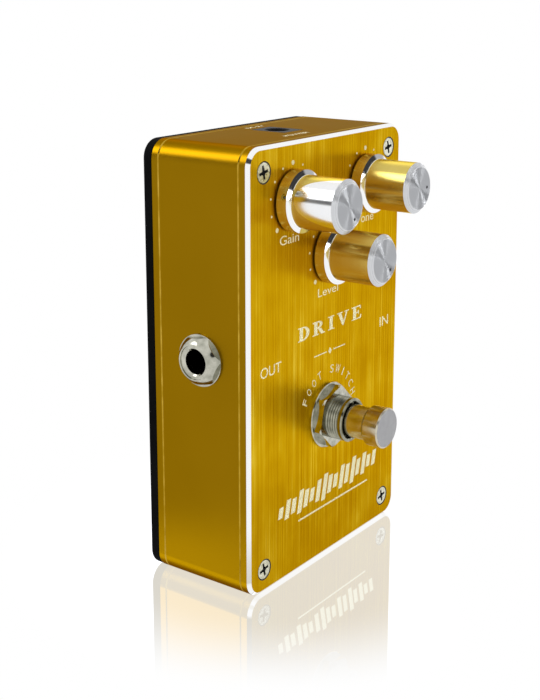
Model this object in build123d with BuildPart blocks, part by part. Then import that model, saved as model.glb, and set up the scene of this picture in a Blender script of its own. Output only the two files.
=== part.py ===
"""Three-knob guitar effects pedal, modelled standing on its lower end.

Frame, in millimetres: +X to the player's right, +Y from the front plate to the rubber mat, +Z up the long
side to the power socket. The origin is the middle of the lower end face.
"""
import os
from math import cos, radians, sin

from build123d import *

# ---- Case --------------------------------------------------------------------------------------
WIDTH = 72.0
HEIGHT = 118.0
CORNER_RADIUS = 5.0
METAL_DEPTH = 31.0          # front plate, shell and back cover together
PLATE_THICK = 3.0
COVER_THICK = 2.4
MAT_THICK = 3.0
MAT_INSET = 0.1             # the mat stops just inside the cover's outline
WALL = 2.2
PLATE_CHAMFER = 0.9         # bright cut edge of the front plate
EDGE_BREAK = 0.25           # small bevel on every other outer edge of the case
FACE_Y = -METAL_DEPTH / 2
SHELL_FRONT_Y = FACE_Y + PLATE_THICK
COVER_BACK_Y = METAL_DEPTH / 2
SHELL_BACK_Y = COVER_BACK_Y - COVER_THICK
MAT_BACK_Y = COVER_BACK_Y + MAT_THICK

# ---- Screws that hold the plate and the cover --------------------------------------------------
SCREW_INSET = 6.5           # from the case's sides and ends
SCREW_SPACING_X = WIDTH - 2 * SCREW_INSET
SCREW_SPACING_Z = HEIGHT - 2 * SCREW_INSET
SCREW_HEAD_RADIUS = 2.55
SCREW_HEAD_DEPTH = 0.1      # the heads lie just below the face
SCREW_SHANK_RADIUS = 1.45
SCREW_HOLE_RADIUS = 1.55
SCREW_LENGTH = 10.0
SCREW_TIP_BEVEL = 0.4
SCREW_RIM = 0.12            # straight rim above the head's cone
RECESS_LENGTH = 3.6         # of the cross recess, from wing end to wing end
RECESS_WIDTH = 0.75
RECESS_HEART = 1.5          # side of the square that flares the middle of the cross
RECESS_DEPTH = 0.85
RECESS_TAPER = 18
RECESS_TURN = 12.0          # the way the heads happen to be turned
SINK_RADIUS = 2.9
BOSS_RADIUS = 4.5

# ---- Knobs and potentiometers ------------------------------------------------------------------
KNOB_X = 17.2
TOP_KNOB_Z = 103.0
LEVEL_KNOB_Z = 86.3
KNOBS = {
    # name: x, z, angle of the pointer dot, angle of the set screw (anticlockwise from +X)
    "gain": (-KNOB_X, TOP_KNOB_Z, -57.0, 165.0),
    "tone": (KNOB_X, TOP_KNOB_Z, -2.0, 20.0),
    "level": (0.0, LEVEL_KNOB_Z, -46.0, 20.0),
}
KNOB_GAP = 0.4              # between the knob's skirt and the plate
SKIRT_RADIUS = 8.1
SKIRT_TOP = 3.6
STEP_TOP = 4.2              # top of the bright conical step above the skirt
GRIP_RADIUS = 6.9
KNOB_TOP = 17.2
RIM_CHAMFER = 1.1
CAVITY_RADIUS = 6.5
CAVITY_TOP = 1.9
CAP_RADIUS = 5.6
CAP_THICK = 0.7
CAP_GAP = 0.02              # round the pressed-in cap
DOT_RADIUS = 0.42
DOT_OFFSET = 4.0
DOT_DEPTH = 0.25
SET_SCREW_HEIGHT = 2.75
SET_SCREW_RADIUS = 0.75
SHAFT_RADIUS = 3.0
SHAFT_TOP = 12.3
SHAFT_FLAT = 2.5            # from the axis to the flat that the set screw bears on
RUNNING_GAP = 0.05
BUSHING_RADIUS = 3.5
BUSHING_TOP = 1.6
POT_RADIUS = 8.1
POT_DEPTH = 8.0
POT_NUT_FLATS = 10.0
POT_NUT_THICK = 1.2
POT_WASHER_RADIUS = 6.0
POT_WASHER_THICK = 0.3
THREAD_CLEARANCE = 0.03     # between a nut's bore and the thread it sits on

# ---- Footswitch --------------------------------------------------------------------------------
SWITCH_Z = 40.8
SWITCH_BUSHING_RADIUS = 6.0
SWITCH_BUSHING_TOP = 8.0
SWITCH_BORE_RADIUS = 4.58
SWITCH_MOUTH_RADIUS = 5.1   # the bore opens out at the bushing's end
SWITCH_FLANGE_RADIUS = 7.6
SWITCH_FLANGE_THICK = 1.0
SWITCH_WASHER_RADIUS = 9.1
SWITCH_WASHER_THICK = 0.8
SWITCH_NUT_FLATS = 15.0
SWITCH_NUT_THICK = 2.3
SWITCH_NUT_TURN = 16.0      # the way the nut happens to be turned
THREAD_PITCH = 0.75
THREAD_DEPTH = 0.3
PLUNGER_RADIUS = 4.5
PLUNGER_CAP_RADIUS = 5.45
PLUNGER_CAP_BASE = 14.4
PLUNGER_TOP = 18.8
SWITCH_BODY_WIDTH = 17.2
SWITCH_BODY_HEIGHT = 19.5
SWITCH_BODY_TOP = -6.2      # heights are measured forwards from the plate's face
SWITCH_BODY_DEPTH = 12.8
SWITCH_CAVITY_DEPTH = 11.0
COLLAR_TOP = -6.5
COLLAR_THICK = 1.6
SPRING_RADIUS = 4.4
SPRING_WIRE_RADIUS = 0.35
SPRING_TURNS = 5
LUG_SPACING_X = 5.0         # the nine solder lugs behind the switch
LUG_SPACING_Z = 5.2
LUG_WIDTH = 2.0
LUG_THICK = 0.7
LUG_LENGTH = 5.0

# ---- Jacks and power socket --------------------------------------------------------------------
JACK_Y = -0.2
JACK_Z = 62.6
JACK_BORE_RADIUS = 3.25     # takes a 6.35 mm plug
JACK_SLEEVE_RADIUS = 4.5
JACK_SLEEVE_LENGTH = 9.6
JACK_SLEEVE_TIP_X = WIDTH / 2 + 2.6
JACK_FLANGE_RADIUS = 6.6    # behind the case wall
JACK_NUT_FLATS = 12.0
JACK_NUT_THICK = 2.9
JACK_NUT_TURN = 7.0
JACK_FOOT_RADIUS = 6.9       # of the round foot under the nut's flats
JACK_FOOT_THICK = 0.5
JACK_DOME_RADIUS = 7.53     # of the sphere that rounds the nut off
JACK_DOME_SINK = 2.85       # from the nut's seat in to that sphere's centre
JACK_BOX = 15.0
JACK_BOX_LENGTH = 23.0
JACK_TAG_OFFSET = 4.2       # of the two solder tags above and below the jack's axis
TAG_HALF_WIDTH = 1.0
CONTACT_THICK = 0.5
POWER_Y = 1.9
POWER_WIDTH = 8.8
POWER_DEPTH = 11.0
POWER_HEIGHT = 14.0
POWER_BORE_RADIUS = 3.1
POWER_BORE_DEPTH = 10.0
POWER_PIN_RADIUS = 1.05
BLADE_X = 2.6               # of the socket's two blade contacts, either side of the pin

# ---- Circuit boards ----------------------------------------------------------------------------
BOARD_THICK = 1.6
BOARD_FRONT_Y = FACE_Y + 11.2
BOARD_BACK_Y = BOARD_FRONT_Y + BOARD_THICK
BOARD_BOTTOM_Z = 73.0
BOARD_TOP_Z = 112.0
BOARD_WIDTH = 62.0
SWITCH_BOARD_THICK = 1.2
LED_Z = 101.0
LED_RADIUS = 1.5
WIRE_RADIUS = 0.6

LEFT = -1
RIGHT = 1
MIDDLE_Z = HEIGHT / 2


def front_plane(height, x=0.0, z=MIDDLE_Z):
    """A plane parallel to the front plate, facing the player, at a height above the plate's face."""
    return Plane(origin=(x, FACE_Y - height, z), x_dir=(1, 0, 0), z_dir=(0, -1, 0))


def turning_plane(x, z):
    """The half-section of a piece turned about a front-to-back axis; local x is radius, y is height."""
    return Plane(origin=(x, FACE_Y, z), x_dir=(1, 0, 0), z_dir=(0, 0, -1))


def front_axis(x, z):
    return Axis((x, FACE_Y, z), (0, -1, 0))


def side_plane(side, reach):
    """A plane facing out of the left or right side, centred on the jack, reach mm from the middle."""
    return Plane(origin=(side * reach, JACK_Y, JACK_Z), x_dir=(0, side, 0), z_dir=(side, 0, 0))


def set_screw_plane(x, z, angle, reach):
    """A plane across a knob's set screw, reach mm out from the knob's axis, facing outwards."""
    outward = (cos(radians(angle)), 0, sin(radians(angle)))
    origin = (x + reach * outward[0], FACE_Y - SET_SCREW_HEIGHT, z + reach * outward[2])
    return Plane(origin=origin, x_dir=(0, 1, 0), z_dir=outward)


def height_of(y):
    return FACE_Y - y


def save(builder, name):
    builder.part.label = name
    export_step(builder.part, f"parts/{name}.step")


def turned(outline, x, z):
    """A piece turned about the front-to-back axis through (x, z), from (radius, height) points."""
    with BuildPart() as piece:
        with BuildSketch(turning_plane(x, z)):
            with BuildLine():
                Polyline(*outline, close=True)
            make_face()
        revolve(axis=front_axis(x, z))
    return piece


def hex_nut(plane, flats, thick, bore_radius, turn=0.0):
    """A hexagon nut with its corners chamfered at both ends, standing on the plane."""
    corner_radius = flats / 3 ** 0.5
    corner_cut = 0.15
    corner_bevel = 0.35
    with BuildPart() as nut:
        with BuildSketch(plane):
            RegularPolygon(radius=corner_radius, side_count=6, rotation=turn)
            Circle(bore_radius, mode=Mode.SUBTRACT)
        extrude(amount=thick)
        with BuildSketch(plane):
            Circle(corner_radius - corner_cut)
        extrude(amount=thick, mode=Mode.INTERSECT)
        rounded = nut.edges().filter_by(GeomType.CIRCLE).group_by(SortBy.RADIUS)[-1]
        chamfer(rounded, length=corner_bevel)
    return nut


# ==== Case ======================================================================================

def make_housing():
    depth = SHELL_BACK_Y - SHELL_FRONT_Y
    back = front_plane(height_of(SHELL_BACK_Y))
    with BuildPart() as housing:
        with BuildSketch(back):
            RectangleRounded(WIDTH, HEIGHT, CORNER_RADIUS)
        extrude(amount=depth)
        outer_edges = housing.faces().filter_by(Axis.Y).edges()
        chamfer(outer_edges, length=EDGE_BREAK)
        with BuildSketch(back):
            RectangleRounded(WIDTH - 2 * WALL, HEIGHT - 2 * WALL, CORNER_RADIUS - WALL)
            with GridLocations(SCREW_SPACING_X, SCREW_SPACING_Z, 2, 2):
                Circle(BOSS_RADIUS, mode=Mode.SUBTRACT)
        extrude(amount=depth, mode=Mode.SUBTRACT)
        with Locations(front_plane(height_of(SHELL_FRONT_Y))):
            with GridLocations(SCREW_SPACING_X, SCREW_SPACING_Z, 2, 2):
                Hole(SCREW_HOLE_RADIUS)
        for side in (LEFT, RIGHT):
            with BuildSketch(side_plane(side, WIDTH / 2 + 1)):
                Circle(JACK_SLEEVE_RADIUS + 0.15)
            extrude(amount=-WALL - 2, mode=Mode.SUBTRACT)
        with BuildSketch(Plane.XY.offset(HEIGHT + 1)):
            with Locations((0, POWER_Y)):
                Rectangle(POWER_WIDTH + 0.2, POWER_DEPTH + 0.2)
        extrude(amount=-WALL - 2, mode=Mode.SUBTRACT)
    save(housing, "housing")


def make_front_plate():
    with BuildPart() as plate:
        with BuildSketch(front_plane(-PLATE_THICK)):
            RectangleRounded(WIDTH, HEIGHT, CORNER_RADIUS)
        extrude(amount=PLATE_THICK)
        front_edges = plate.faces().sort_by(Axis.Y)[0].edges()
        back_edges = plate.faces().sort_by(Axis.Y)[-1].edges()
        chamfer(front_edges, length=PLATE_CHAMFER)
        chamfer(back_edges, length=EDGE_BREAK)
        with Locations(front_plane(0)):
            with GridLocations(SCREW_SPACING_X, SCREW_SPACING_Z, 2, 2):
                CounterSinkHole(SCREW_HOLE_RADIUS, SINK_RADIUS, counter_sink_angle=90)
        for x, z, _, _ in KNOBS.values():
            with Locations(front_plane(0, x, z)):
                Hole(BUSHING_RADIUS + 0.05)
        with Locations(front_plane(0, 0, SWITCH_Z)):
            Hole(SWITCH_BUSHING_RADIUS + 0.05)
        with Locations(front_plane(0, 0, LED_Z)):
            Hole(LED_RADIUS + 0.05)
    save(plate, "front_plate")


def make_back_cover():
    rib_length = 84.0
    rib_width = 1.4
    rib_height = 1.6
    rib_x = WIDTH / 2 - WALL - 0.2 - rib_width / 2
    with BuildPart() as cover:
        with BuildSketch(front_plane(height_of(COVER_BACK_Y))):
            RectangleRounded(WIDTH, HEIGHT, CORNER_RADIUS)
        extrude(amount=COVER_THICK)
        rim = cover.faces().filter_by(Axis.Y).edges()
        chamfer(rim, length=EDGE_BREAK)
        with BuildSketch(front_plane(height_of(SHELL_BACK_Y))):
            with GridLocations(2 * rib_x, 0, 2, 1):
                Rectangle(rib_width, rib_length)
        extrude(amount=rib_height)
        back = Plane(origin=(0, COVER_BACK_Y, MIDDLE_Z), x_dir=(1, 0, 0), z_dir=(0, 1, 0))
        with Locations(back):
            with GridLocations(SCREW_SPACING_X, SCREW_SPACING_Z, 2, 2):
                CounterSinkHole(SCREW_HOLE_RADIUS, SINK_RADIUS, counter_sink_angle=90)
    save(cover, "back_cover")


def make_rubber_mat():
    grooves = 11
    groove_pitch = 8.0
    groove_width = 2.4
    groove_length = 50.0
    groove_depth = 0.6
    back_rounding = 0.9
    screw_window_radius = 3.4
    with BuildPart() as mat:
        with BuildSketch(front_plane(height_of(MAT_BACK_Y))):
            RectangleRounded(WIDTH - 2 * MAT_INSET, HEIGHT - 2 * MAT_INSET, CORNER_RADIUS - MAT_INSET)
        extrude(amount=MAT_THICK)
        fillet(mat.faces().sort_by(Axis.Y)[-1].edges(), radius=back_rounding)
        with BuildSketch(front_plane(height_of(COVER_BACK_Y))):
            with GridLocations(SCREW_SPACING_X, SCREW_SPACING_Z, 2, 2):
                Circle(screw_window_radius)
        extrude(amount=-MAT_THICK, mode=Mode.SUBTRACT)
        with BuildSketch(front_plane(height_of(MAT_BACK_Y))):
            with GridLocations(0, groove_pitch, 1, grooves):
                SlotOverall(groove_length, groove_width)
        extrude(amount=groove_depth, mode=Mode.SUBTRACT)
    save(mat, "rubber_mat")


def make_case_screws(name, y_face, direction):
    """Four countersunk cross-recess screws, sunk just below the face at y_face, driven along direction."""
    start_y = y_face + direction * SCREW_HEAD_DEPTH
    cone_end = SCREW_RIM + SCREW_HEAD_RADIUS - SCREW_SHANK_RADIUS
    places = []
    for x in (-SCREW_SPACING_X / 2, SCREW_SPACING_X / 2):
        for z in (SCREW_INSET, HEIGHT - SCREW_INSET):
            places.append((x, start_y, z))
    with BuildPart() as screws:
        for place in places:
            with BuildSketch(Plane(origin=place, x_dir=(1, 0, 0), z_dir=(0, 0, direction))):
                with BuildLine():
                    Polyline(
                        (0, 0),
                        (SCREW_HEAD_RADIUS, 0),
                        (SCREW_HEAD_RADIUS, SCREW_RIM),
                        (SCREW_SHANK_RADIUS, cone_end),
                        (SCREW_SHANK_RADIUS, SCREW_LENGTH - SCREW_TIP_BEVEL),
                        (SCREW_SHANK_RADIUS - SCREW_TIP_BEVEL, SCREW_LENGTH),
                        (0, SCREW_LENGTH),
                        close=True,
                    )
                make_face()
            revolve(axis=Axis(place, (0, 1, 0)))
        for place in places:
            with BuildSketch(Plane(origin=place, x_dir=(1, 0, 0), z_dir=(0, -direction, 0))):
                Rectangle(RECESS_LENGTH, RECESS_WIDTH, rotation=RECESS_TURN)
                Rectangle(RECESS_WIDTH, RECESS_LENGTH, rotation=RECESS_TURN)
                Rectangle(RECESS_HEART, RECESS_HEART, rotation=RECESS_TURN + 45)
            extrude(amount=-RECESS_DEPTH, taper=RECESS_TAPER, mode=Mode.SUBTRACT)
    save(screws, name)


# ==== Knobs and potentiometers ==================================================================

def make_knob(name, x, z, screw_angle):
    groove = 0.12
    foot_bevel = 0.25
    bore_end = SHAFT_TOP + 0.3
    bore_radius = SHAFT_RADIUS + RUNNING_GAP
    well_radius = CAP_RADIUS + CAP_GAP
    with BuildPart() as knob:
        with BuildSketch(turning_plane(x, z)):
            with BuildLine():
                Polyline(
                    (CAVITY_RADIUS, KNOB_GAP),
                    (SKIRT_RADIUS - foot_bevel, KNOB_GAP),
                    (SKIRT_RADIUS, KNOB_GAP + foot_bevel),
                    (SKIRT_RADIUS, SKIRT_TOP),
                    (GRIP_RADIUS, STEP_TOP),
                    (GRIP_RADIUS - groove, STEP_TOP + groove),
                    (GRIP_RADIUS, STEP_TOP + 2 * groove),
                    (GRIP_RADIUS, KNOB_TOP - RIM_CHAMFER),
                    (GRIP_RADIUS - RIM_CHAMFER, KNOB_TOP),
                    (well_radius, KNOB_TOP),
                    (well_radius, KNOB_TOP - CAP_THICK),
                    (0, KNOB_TOP - CAP_THICK),
                    (0, bore_end),
                    (bore_radius, bore_end),
                    (bore_radius, CAVITY_TOP),
                    (CAVITY_RADIUS, CAVITY_TOP),
                    close=True,
                )
            make_face()
        revolve(axis=front_axis(x, z))
        with BuildSketch(set_screw_plane(x, z, screw_angle, 0)):
            Circle(SET_SCREW_RADIUS + 0.05)
        extrude(amount=SKIRT_RADIUS + 1, mode=Mode.SUBTRACT)
    save(knob, f"{name}_knob")


def make_knob_cap(name, x, z, dot_angle):
    with BuildPart() as cap:
        with BuildSketch(front_plane(KNOB_TOP - CAP_THICK, x, z)):
            Circle(CAP_RADIUS)
        extrude(amount=CAP_THICK)
        with BuildSketch(front_plane(KNOB_TOP, x, z)):
            with Locations((DOT_OFFSET * cos(radians(dot_angle)), DOT_OFFSET * sin(radians(dot_angle)))):
                Circle(DOT_RADIUS)
        extrude(amount=-DOT_DEPTH, mode=Mode.SUBTRACT)
    save(cap, f"{name}_knob_cap")


def make_set_screw(name, x, z, screw_angle):
    socket_radius = 0.45
    socket_depth = 1.2
    outer_end = SKIRT_RADIUS - 0.3
    with BuildPart() as screw:
        with BuildSketch(set_screw_plane(x, z, screw_angle, SHAFT_FLAT)):
            Circle(SET_SCREW_RADIUS)
        extrude(amount=outer_end - SHAFT_FLAT)
        with BuildSketch(set_screw_plane(x, z, screw_angle, outer_end)):
            RegularPolygon(radius=socket_radius, side_count=6)
        extrude(amount=-socket_depth, mode=Mode.SUBTRACT)
    save(screw, f"{name}_knob_set_screw")


def make_pot_body(name, x, z):
    front = -PLATE_THICK
    back = front - POT_DEPTH
    can_wall = 0.8
    front_wall = 1.2
    shelf_width = 12.5
    shelf_length = 3.6
    shelf_drop = 3.6            # behind the can's front
    leg_spacing = 5.0
    leg_width = 1.0
    leg_thick = 0.6
    bore_radius = SHAFT_RADIUS + RUNNING_GAP
    with BuildPart() as body:
        with BuildSketch(turning_plane(x, z)):
            with BuildLine():
                Polyline(
                    (BUSHING_RADIUS, BUSHING_TOP),
                    (BUSHING_RADIUS, front),
                    (POT_RADIUS, front),
                    (POT_RADIUS, back),
                    (0, back),
                    (0, back + can_wall),
                    (POT_RADIUS - can_wall, back + can_wall),
                    (POT_RADIUS - can_wall, front - front_wall),
                    (bore_radius, front - front_wall),
                    (bore_radius, BUSHING_TOP),
                    close=True,
                )
            make_face()
        revolve(axis=front_axis(x, z))
        # Three solder legs reach back from a shelf under the can to the circuit board.
        shelf_foot = z - POT_RADIUS - 1.9
        with BuildSketch(front_plane(front - shelf_drop, x, shelf_foot + shelf_length / 2)):
            Rectangle(shelf_width, shelf_length)
        extrude(amount=1.0)
        with BuildSketch(front_plane(height_of(BOARD_FRONT_Y), x, shelf_foot + 0.7)):
            with GridLocations(leg_spacing, 0, 3, 1):
                Rectangle(leg_width, leg_thick)
        extrude(until=Until.NEXT)
    save(body, f"{name}_pot_body")


def make_pot_shaft(name, x, z, screw_angle):
    rotor_back = -PLATE_THICK - POT_DEPTH + 1.5
    rotor_front = rotor_back + 1.2
    rotor_radius = POT_RADIUS - 1.4
    tip_bevel = 0.4
    with BuildPart() as shaft:
        with BuildSketch(turning_plane(x, z)):
            with BuildLine():
                Polyline(
                    (0, rotor_back),
                    (rotor_radius, rotor_back),
                    (rotor_radius, rotor_front),
                    (SHAFT_RADIUS, rotor_front),
                    (SHAFT_RADIUS, SHAFT_TOP - tip_bevel),
                    (SHAFT_RADIUS - tip_bevel, SHAFT_TOP),
                    (0, SHAFT_TOP),
                    close=True,
                )
            make_face()
        revolve(axis=front_axis(x, z))
        # The flat that the set screw bears on, cut above the bushing.
        with BuildSketch(front_plane(BUSHING_TOP + 0.2, x, z)):
            with Locations(Location((0, 0), screw_angle)):
                with Locations((SHAFT_FLAT + 1, 0)):
                    Rectangle(2, 2 * SHAFT_RADIUS)
        extrude(amount=SHAFT_TOP, mode=Mode.SUBTRACT)
    save(shaft, f"{name}_pot_shaft")


def make_pot_hardware():
    """The nut and washer of each potentiometer, each kind in one node."""
    turn_step = 11.0            # each nut happens to be turned a little further
    bore_radius = BUSHING_RADIUS + THREAD_CLEARANCE
    with BuildPart() as washers:
        for x, z, _, _ in KNOBS.values():
            with BuildSketch(front_plane(0, x, z)):
                Circle(POT_WASHER_RADIUS)
                Circle(BUSHING_RADIUS + 0.1, mode=Mode.SUBTRACT)
        extrude(amount=POT_WASHER_THICK)
    save(washers, "pot_washers")
    with BuildPart() as nuts:
        for index, (x, z, _, _) in enumerate(KNOBS.values()):
            plane = front_plane(POT_WASHER_THICK, x, z)
            add(hex_nut(plane, POT_NUT_FLATS, POT_NUT_THICK, bore_radius, turn_step * index).part)
    save(nuts, "pot_nuts")


# ==== Footswitch ================================================================================

def make_switch_bushing():
    thread_from = SWITCH_WASHER_THICK + SWITCH_NUT_THICK
    threads = 5
    mouth_depth = 2.2
    edge = 0.3
    flange_front = SWITCH_BODY_TOP + SWITCH_FLANGE_THICK
    crests = []
    for turn in range(threads):
        height = thread_from + turn * THREAD_PITCH
        crests.append((SWITCH_BUSHING_RADIUS, height + 0.1))
        crests.append((SWITCH_BUSHING_RADIUS - THREAD_DEPTH, height + THREAD_PITCH / 2))
    bushing = turned(
        [
            (SWITCH_BORE_RADIUS, SWITCH_BODY_TOP),
            (SWITCH_FLANGE_RADIUS, SWITCH_BODY_TOP),
            (SWITCH_FLANGE_RADIUS, flange_front),
            (SWITCH_BUSHING_RADIUS, flange_front),
            *crests,
            (SWITCH_BUSHING_RADIUS, thread_from + threads * THREAD_PITCH),
            (SWITCH_BUSHING_RADIUS, SWITCH_BUSHING_TOP - edge),
            (SWITCH_BUSHING_RADIUS - edge, SWITCH_BUSHING_TOP),
            (SWITCH_MOUTH_RADIUS + 0.2, SWITCH_BUSHING_TOP),
            (SWITCH_MOUTH_RADIUS, SWITCH_BUSHING_TOP - 0.2),
            (SWITCH_MOUTH_RADIUS, SWITCH_BUSHING_TOP - mouth_depth),
            (SWITCH_BORE_RADIUS, SWITCH_BUSHING_TOP - mouth_depth - 0.4),
        ],
        0,
        SWITCH_Z,
    )
    save(bushing, "footswitch_bushing")


def make_switch_hardware():
    with BuildPart() as washer:
        with BuildSketch(front_plane(0, 0, SWITCH_Z)):
            Circle(SWITCH_WASHER_RADIUS)
            Circle(SWITCH_BUSHING_RADIUS + 0.1, mode=Mode.SUBTRACT)
        extrude(amount=SWITCH_WASHER_THICK)
        chamfer(washer.faces().sort_by(Axis.Y)[0].edges().sort_by(SortBy.RADIUS)[-1], length=0.2)
    save(washer, "footswitch_washer")
    bore_radius = SWITCH_BUSHING_RADIUS + THREAD_CLEARANCE
    front = front_plane(SWITCH_WASHER_THICK, 0, SWITCH_Z)
    nut = hex_nut(front, SWITCH_NUT_FLATS, SWITCH_NUT_THICK, bore_radius, SWITCH_NUT_TURN)
    save(nut, "footswitch_nut")
    flange_front = SWITCH_BODY_TOP + SWITCH_FLANGE_THICK + 0.05
    behind = front_plane(flange_front, 0, SWITCH_Z)
    inner_turn = 30.0
    inner_nut = hex_nut(behind, SWITCH_NUT_FLATS, -PLATE_THICK - flange_front, bore_radius, inner_turn)
    save(inner_nut, "footswitch_inner_nut")


def make_plunger():
    """The stepped button: a cap on a narrower stem, with a collar that stops it behind the bushing."""
    collar_back = COLLAR_TOP - COLLAR_THICK
    collar_radius = 5.6
    tail_radius = 3.2
    tail_length = 2.0
    neck_cone = 1.0
    rim = 0.35
    plunger = turned(
        [
            (0, collar_back - tail_length),
            (tail_radius, collar_back - tail_length),
            (tail_radius, collar_back),
            (collar_radius, collar_back),
            (collar_radius, COLLAR_TOP),
            (PLUNGER_RADIUS, COLLAR_TOP),
            (PLUNGER_RADIUS, PLUNGER_CAP_BASE - neck_cone),
            (PLUNGER_CAP_RADIUS, PLUNGER_CAP_BASE),
            (PLUNGER_CAP_RADIUS, PLUNGER_TOP - rim),
            (PLUNGER_CAP_RADIUS - rim, PLUNGER_TOP),
            (0, PLUNGER_TOP),
        ],
        0,
        SWITCH_Z,
    )
    save(plunger, "footswitch_plunger")


def make_switch_body():
    cavity_radius = 6.2
    with BuildPart() as body:
        with BuildSketch(front_plane(SWITCH_BODY_TOP, 0, SWITCH_Z)):
            RectangleRounded(SWITCH_BODY_WIDTH, SWITCH_BODY_HEIGHT, 1.0)
        extrude(amount=-SWITCH_BODY_DEPTH)
        with BuildSketch(front_plane(SWITCH_BODY_TOP, 0, SWITCH_Z)):
            Circle(cavity_radius)
        extrude(amount=-SWITCH_CAVITY_DEPTH, mode=Mode.SUBTRACT)
    save(body, "footswitch_body")


def make_switch_spring():
    end_gap = SPRING_WIRE_RADIUS + 0.05
    floor = SWITCH_BODY_TOP - SWITCH_CAVITY_DEPTH + end_gap
    ceiling = COLLAR_TOP - COLLAR_THICK - end_gap
    length = ceiling - floor
    pitch = length / SPRING_TURNS
    foot = (0, FACE_Y - floor, SWITCH_Z)
    with BuildPart() as spring:
        with BuildLine() as coil:
            Helix(pitch=pitch, height=length, radius=SPRING_RADIUS, center=foot, direction=(0, -1, 0))
        with BuildSketch(Plane(origin=coil.line @ 0, z_dir=coil.line % 0)):
            Circle(SPRING_WIRE_RADIUS)
        sweep(path=coil.line, is_frenet=True)
    save(spring, "footswitch_spring")


def make_switch_lugs():
    back = SWITCH_BODY_TOP - SWITCH_BODY_DEPTH
    with BuildPart() as lugs:
        with BuildSketch(front_plane(back, 0, SWITCH_Z)):
            with GridLocations(LUG_SPACING_X, LUG_SPACING_Z, 3, 3):
                Rectangle(LUG_WIDTH, LUG_THICK)
        extrude(amount=-LUG_LENGTH)
    save(lugs, "footswitch_lugs")


def make_switch_board():
    """The small board that the footswitch's lugs are soldered through; returns where its back lies."""
    gap = 3.4
    board_width = 22.0
    board_height = 26.0
    slot_clearance = 0.2
    board_front = SWITCH_BODY_TOP - SWITCH_BODY_DEPTH - gap
    with BuildPart() as board:
        with BuildSketch(front_plane(board_front, 0, SWITCH_Z)):
            RectangleRounded(board_width, board_height, 1.0)
            with GridLocations(LUG_SPACING_X, LUG_SPACING_Z, 3, 3):
                Rectangle(LUG_WIDTH + slot_clearance, LUG_THICK + slot_clearance, mode=Mode.SUBTRACT)
        extrude(amount=-SWITCH_BOARD_THICK)
    save(board, "switch_board")
    return FACE_Y - board_front + SWITCH_BOARD_THICK


# ==== Jacks and power socket ====================================================================

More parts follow.
